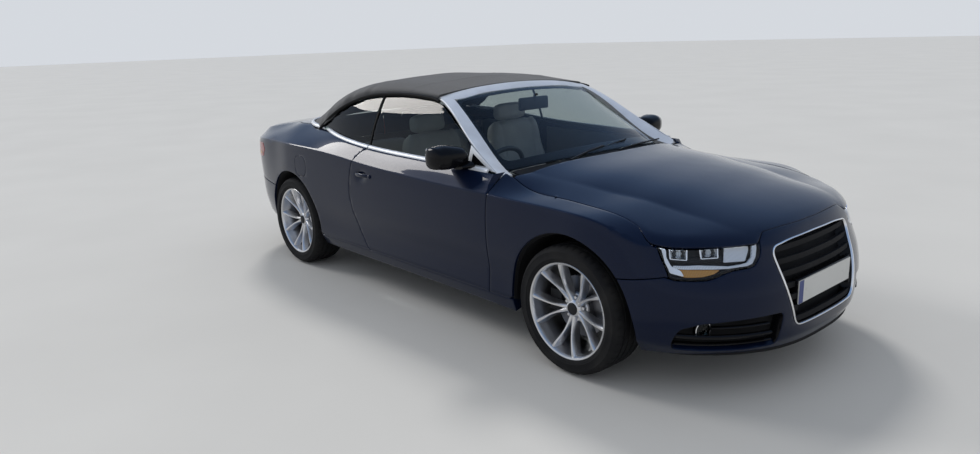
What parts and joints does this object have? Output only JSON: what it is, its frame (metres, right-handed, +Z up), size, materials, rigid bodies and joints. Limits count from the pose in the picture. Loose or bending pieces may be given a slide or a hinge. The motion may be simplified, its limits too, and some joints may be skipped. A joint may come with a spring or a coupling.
{
  "type": "four-seat convertible car with a closed fabric top",
  "caption": "Low open-top car shown with its fabric top closed: doors, hood and boot lid open, front wheels steer, all wheels turn.",
  "frame": {"origin": "on the ground, under the middle of the car's length and width", "axes": "+X forward, +Y to the car's left, +Z up"},
  "size_m": [4.6294, 2.016, 1.3799],
  "materials": {
    "body_paint": "dark blue metallic gloss",
    "black_structure": "black painted steel",
    "fabric_top": "woven canvas",
    "glass": "clear, slightly green",
    "bright_trim": "satin",
    "chrome": "polished",
    "alloy": "silver lacquer",
    "tyre": "matt",
    "seat_leather": "light grey, grained",
    "dark_plastic": "grained",
    "gloss_black": "gloss",
    "lamp_clear": "clear",
    "lamp_red": "clear red",
    "steel_part": "plain",
    "cast_part": "plain",
    "wheel_leather": "black",
    "plate_white": "blank white plate"
  },
  "bodies": {
    "root": {"centre_console": "dark_plastic", "cowl": "dark_plastic", "dashboard": "dark_plastic", "engine": "cast_part", "exhaust": "steel_part", "fender_left": "body_paint", "fender_right": "body_paint", "firewall": "black_structure", "floor_pan": "black_structure", "front_axle": "cast_part", "front_bumper": "body_paint", "front_frame": "black_structure", "front_plate": "plate_white", "front_seats": "seat_leather", "grille": "gloss_black", "headlamps": "lamp_clear", "quarter_left": "body_paint", "quarter_right": "body_paint", "quarter_windows": "glass", "radiator": "steel_part", "rear_axle": "cast_part", "rear_bumper": "body_paint", "rear_floor": "black_structure", "rear_seat": "seat_leather", "rear_window": "glass", "sill_left": "body_paint", "sill_right": "body_paint", "soft_top": "fabric_top", "tail_lamps": "lamp_red", "tonneau_cover": "body_paint", "windscreen": "glass", "windscreen_frame": "bright_trim"},
    "door_left_body": {"door_left": "body_paint", "door_glass_left": "glass", "mirror_left": "gloss_black"},
    "door_right_body": {"door_right": "body_paint", "door_glass_right": "glass", "mirror_right": "gloss_black"},
    "hood_body": {"hood": "body_paint"},
    "boot_lid_body": {"boot_lid": "body_paint", "lid_lamps": "lamp_red", "rear_plate": "plate_white"},
    "knuckle_left_body": {"knuckle_left": "cast_part"},
    "wheel_front_left_body": {"wheel_front_left": "alloy", "tyre_front_left": "tyre"},
    "wheel_rear_left_body": {"wheel_rear_left": "alloy", "tyre_rear_left": "tyre"},
    "knuckle_right_body": {"knuckle_right": "cast_part"},
    "wheel_front_right_body": {"wheel_front_right": "alloy", "tyre_front_right": "tyre"},
    "wheel_rear_right_body": {"wheel_rear_right": "alloy", "tyre_rear_right": "tyre"},
    "steering_wheel_body": {"steering_wheel": "wheel_leather"}
  },
  "joints": [
    {"name": "door_left_hinge", "type": "hinge", "parent": "root", "child": "door_left_body", "pos_m": [0.816, 0.87, 0.57], "axis": [0, 0, -1], "range_deg": [0, 65]},
    {"name": "door_right_hinge", "type": "hinge", "parent": "root", "child": "door_right_body", "pos_m": [0.816, -0.87, 0.57], "axis": [0, 0, 1], "range_deg": [0, 65]},
    {"name": "hood_hinge", "type": "hinge", "parent": "root", "child": "hood_body", "pos_m": [0.955, 0, 0.884], "axis": [0, -1, 0], "range_deg": [0, 50]},
    {"name": "boot_lid_hinge", "type": "hinge", "parent": "root", "child": "boot_lid_body", "pos_m": [-1.66, 0, 1.01], "axis": [0, 1, 0], "range_deg": [0, 78]},
    {"name": "steer_left", "type": "hinge", "parent": "root", "child": "knuckle_left_body", "pos_m": [1.447, 0.745, 0.326], "axis": [0, 0, 1], "range_deg": [-35, 35]},
    {"name": "steer_right", "type": "hinge", "parent": "root", "child": "knuckle_right_body", "pos_m": [1.447, -0.745, 0.326], "axis": [0, 0, 1], "range_deg": [-35, 35]},
    {"name": "steering_wheel_turn", "type": "hinge", "parent": "root", "child": "steering_wheel_body", "pos_m": [0.405, -0.37, 0.8], "axis": [-0.9063, 0, 0.4226], "range_deg": [-525, 525]},
    {"name": "wheel_front_left_roll", "type": "hinge", "parent": "knuckle_left_body", "child": "wheel_front_left_body", "pos_m": [1.447, 0.795, 0.326], "axis": [0, 1, 0], "continuous": true},
    {"name": "wheel_front_right_roll", "type": "hinge", "parent": "knuckle_right_body", "child": "wheel_front_right_body", "pos_m": [1.447, -0.795, 0.326], "axis": [0, 1, 0], "continuous": true},
    {"name": "wheel_rear_left_roll", "type": "hinge", "parent": "root", "child": "wheel_rear_left_body", "pos_m": [-1.304, 0.7885, 0.326], "axis": [0, 1, 0], "continuous": true},
    {"name": "wheel_rear_right_roll", "type": "hinge", "parent": "root", "child": "wheel_rear_right_body", "pos_m": [-1.304, -0.7885, 0.326], "axis": [0, 1, 0], "continuous": true}
  ],
  "couplings": [
    {"joint": "steer_right", "follows": "steer_left", "ratio": 1},
    {"joint": "steering_wheel_turn", "follows": "steer_left", "ratio": 15}
  ]
}
